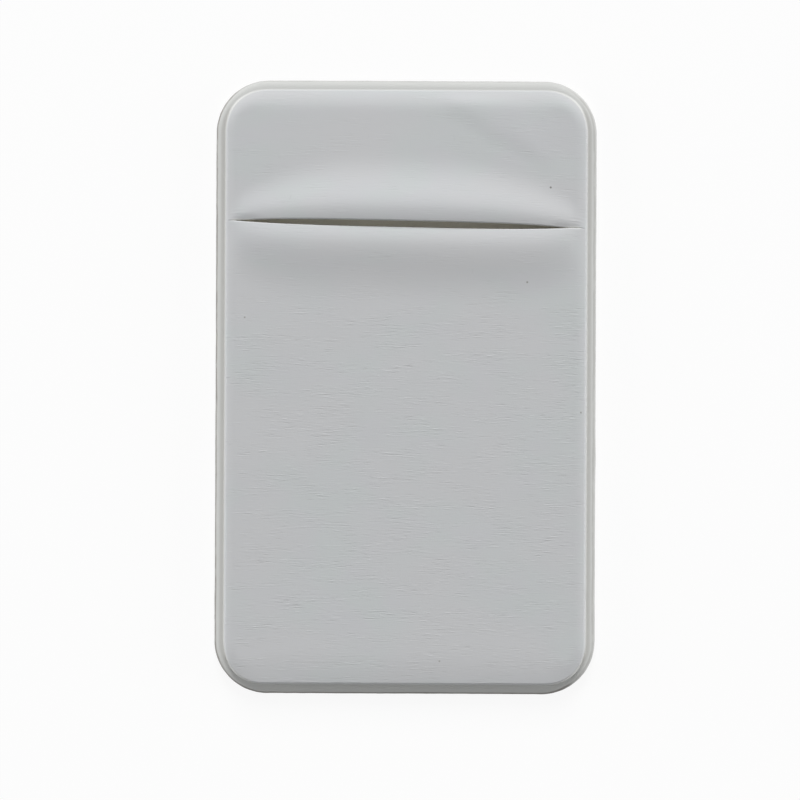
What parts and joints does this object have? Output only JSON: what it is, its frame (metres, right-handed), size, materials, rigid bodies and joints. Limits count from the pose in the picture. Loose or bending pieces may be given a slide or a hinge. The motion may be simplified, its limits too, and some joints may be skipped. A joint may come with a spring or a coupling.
{
  "type": "stick-on phone card holder",
  "caption": "Flat stretch-cloth pocket with an adhesive back for a phone: a flap and a card pocket meet at a slim mouth across the front.",
  "frame": {"origin": "middle of the underside, which is the paper liner on the adhesive back", "axes": "+X to the right, +Y towards the flap, +Z out of the front face"},
  "size_m": [0.059, 0.0952, 0.0042],
  "materials": {
    "stretch_cloth": "matt fine-ribbed stretch cloth, light cool grey",
    "backing": "matt pale warm backing",
    "adhesive": "pale satin adhesive film",
    "liner": "smooth coated off-white paper"
  },
  "bodies": {
    "root": {"release_liner": "liner", "adhesive_sheet": "adhesive", "back_panel": "backing", "pocket_panel": "stretch_cloth", "flap_panel": "stretch_cloth"}
  },
  "joints": []
}
